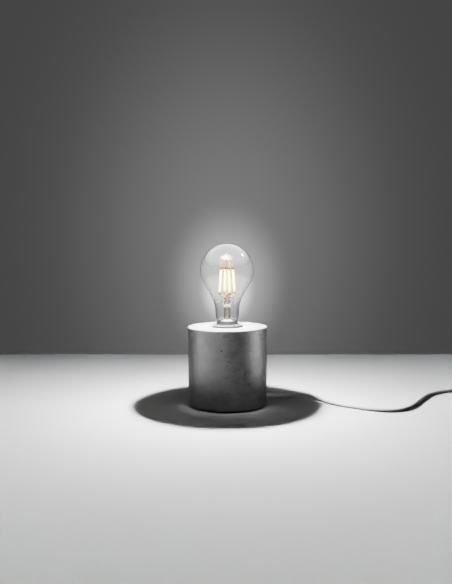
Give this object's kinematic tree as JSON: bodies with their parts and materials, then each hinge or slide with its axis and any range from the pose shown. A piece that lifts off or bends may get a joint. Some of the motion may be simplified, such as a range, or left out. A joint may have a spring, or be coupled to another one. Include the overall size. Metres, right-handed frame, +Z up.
{
  "type": "desk lamp",
  "caption": "Low desk lamp: a cast concrete cylinder with a sunk lampholder, a clear filament bulb and a thin light cord with a rocker switch, a coiled length and a flat plug.",
  "frame": {"origin": "middle of the underside of the foot pad", "axes": "+Z up along the lamp's axis; -Y towards the viewer of the picture; the cord leaves towards +X"},
  "size_m": [0.5043, 0.1555, 0.2049],
  "materials": {
    "concrete": "cast, smooth with fine pores",
    "foot_rubber": "matt",
    "zinc_steel": "zinc plated",
    "brass": "bright",
    "nickel": "nickel plated",
    "porcelain": "glazed",
    "cord_sheath": "smooth, slightly satin",
    "wire_brown": "smooth",
    "wire_blue": "smooth",
    "black_plastic": "moulded",
    "clear_glass": "clear, polished",
    "stem_glass": "clear",
    "filament": "coated, lit",
    "driver_board": "lacquered",
    "cap_metal": "drawn, bright",
    "cap_glass": "fired black glass",
    "switch_plastic": "moulded, fine grain",
    "plug_plastic": "moulded",
    "tie_plastic": "flat band"
  },
  "bodies": {
    "lamp": {"base_plate": "zinc_steel", "base_screws": "zinc_steel", "bracket_screws": "zinc_steel", "centre_contact": "brass", "clamp_lower": "black_plastic", "clamp_screws": "zinc_steel", "clamp_upper": "black_plastic", "concrete_body": "concrete", "cord_coil": "cord_sheath", "cord_inner": "cord_sheath", "cord_tie": "tie_plastic", "cord_to_coil": "cord_sheath", "cord_to_switch": "cord_sheath", "foot_pad": "foot_rubber", "holder_body": "porcelain", "holder_bracket": "zinc_steel", "live_wire": "wire_brown", "lock_nut": "zinc_steel", "lock_washer": "zinc_steel", "neutral_wire": "wire_blue", "nipple": "zinc_steel", "plug_body": "plug_plastic", "plug_pins": "nickel", "plug_relief": "plug_plastic", "rim_screws": "nickel", "screw_shell": "brass", "side_contact": "brass", "strain_relief": "cord_sheath", "switch_contacts": "brass", "switch_lower": "switch_plastic", "switch_pivot": "zinc_steel", "switch_screws": "zinc_steel", "switch_upper": "switch_plastic", "terminal_blocks": "brass", "terminal_screws": "brass", "threaded_inserts": "brass", "web_washer": "zinc_steel"},
    "bulb_lift": {"cap_insulator": "cap_glass", "cap_contact": "cap_metal"},
    "bulb": {"bulb_cap": "cap_metal", "bulb_glass": "clear_glass", "bulb_stem": "stem_glass", "filament_1": "filament", "filament_2": "filament", "filament_3": "filament", "filament_4": "filament", "top_supports": "nickel", "lower_leads": "nickel", "bulb_driver": "driver_board"},
    "rocker": {"switch_rocker": "switch_plastic"}
  },
  "joints": [
    {"name": "bulb_travel", "type": "slide", "parent": "lamp", "child": "bulb_lift", "axis": [0, 0, 1], "range_m": [0, 0.0182]},
    {"name": "bulb_turn", "type": "hinge", "parent": "bulb_lift", "child": "bulb", "pos_m": [0, 0, 0], "axis": [0, 0, 1], "range_deg": [0, 1800]},
    {"name": "rocker_tilt", "type": "hinge", "parent": "lamp", "child": "rocker", "pos_m": [0.363, 0.062, 0.0118], "axis": [0, 1, 0], "range_deg": [-16, 0]}
  ],
  "couplings": [
    {"joint": "bulb_travel", "follows": "bulb_turn", "m_per_rad": 0.00057757}
  ]
}
